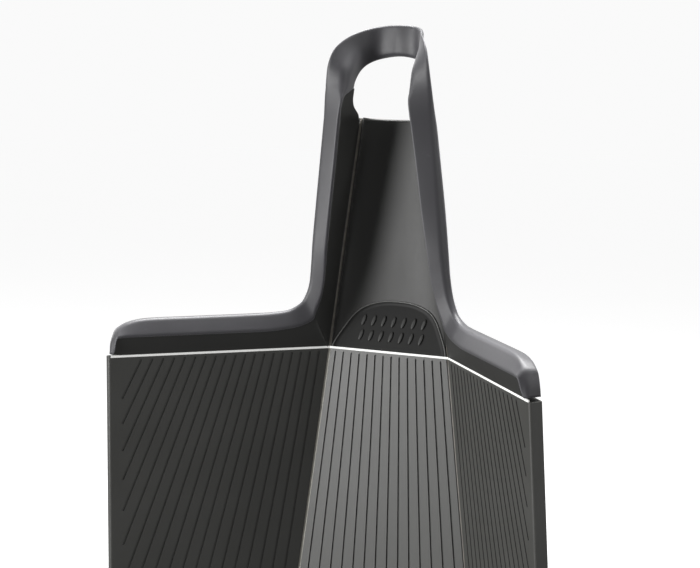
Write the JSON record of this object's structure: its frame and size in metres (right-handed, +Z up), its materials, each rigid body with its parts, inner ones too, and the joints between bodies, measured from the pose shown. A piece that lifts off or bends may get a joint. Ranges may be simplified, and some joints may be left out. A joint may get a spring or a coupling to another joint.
{
  "type": "folding chopping board",
  "caption": "Chopping board whose side panels fold forward on living hinges into a chute, with a tapered squeeze handle, soft-grip band and hanging loop.",
  "frame": {"origin": "top of the hole in the hanging loop, at the front of its band, where a hook bears", "axes": "+Z up along the board towards the loop, cutting face towards -Y, +X to the right as the cutting face is looked at"},
  "size_m": [0.1914, 0.069, 0.3819],
  "materials": {
    "board_plastic": "satin moulded polypropylene, fine grain",
    "soft_grip": "smooth soft-touch elastomer",
    "hinge_web": "thin stress-whitened web",
    "foot_rubber": "matt rubber"
  },
  "bodies": {
    "core": {"centre_panel": "board_plastic", "handle_spine": "board_plastic", "thumb_badge": "board_plastic", "loop_crown": "board_plastic", "crown_grip": "soft_grip", "centre_cross_hinge": "hinge_web", "centre_feet": "foot_rubber", "right_board_hinge": "hinge_web", "right_handle_hinge": "hinge_web", "right_crown_hinge": "hinge_web", "left_board_hinge": "hinge_web", "left_handle_hinge": "hinge_web", "left_crown_hinge": "hinge_web"},
    "right_wing": {"right_panel": "board_plastic", "right_arm": "board_plastic", "right_grip": "soft_grip", "right_cross_hinge": "hinge_web", "right_feet": "foot_rubber"},
    "left_wing": {"left_panel": "board_plastic", "left_arm": "board_plastic", "left_grip": "soft_grip", "left_cross_hinge": "hinge_web", "left_feet": "foot_rubber"}
  },
  "joints": [
    {"name": "right_fold", "type": "hinge", "parent": "core", "child": "right_wing", "pos_m": [0.0248, 0, -0.109], "axis": [0.126, 0, -0.992], "range_deg": [-46, 14]},
    {"name": "left_fold", "type": "hinge", "parent": "core", "child": "left_wing", "pos_m": [-0.0248, 0, -0.109], "axis": [0.126, 0, 0.992], "range_deg": [-46, 14]}
  ],
  "couplings": [
    {"joint": "left_fold", "follows": "right_fold", "ratio": 1}
  ]
}
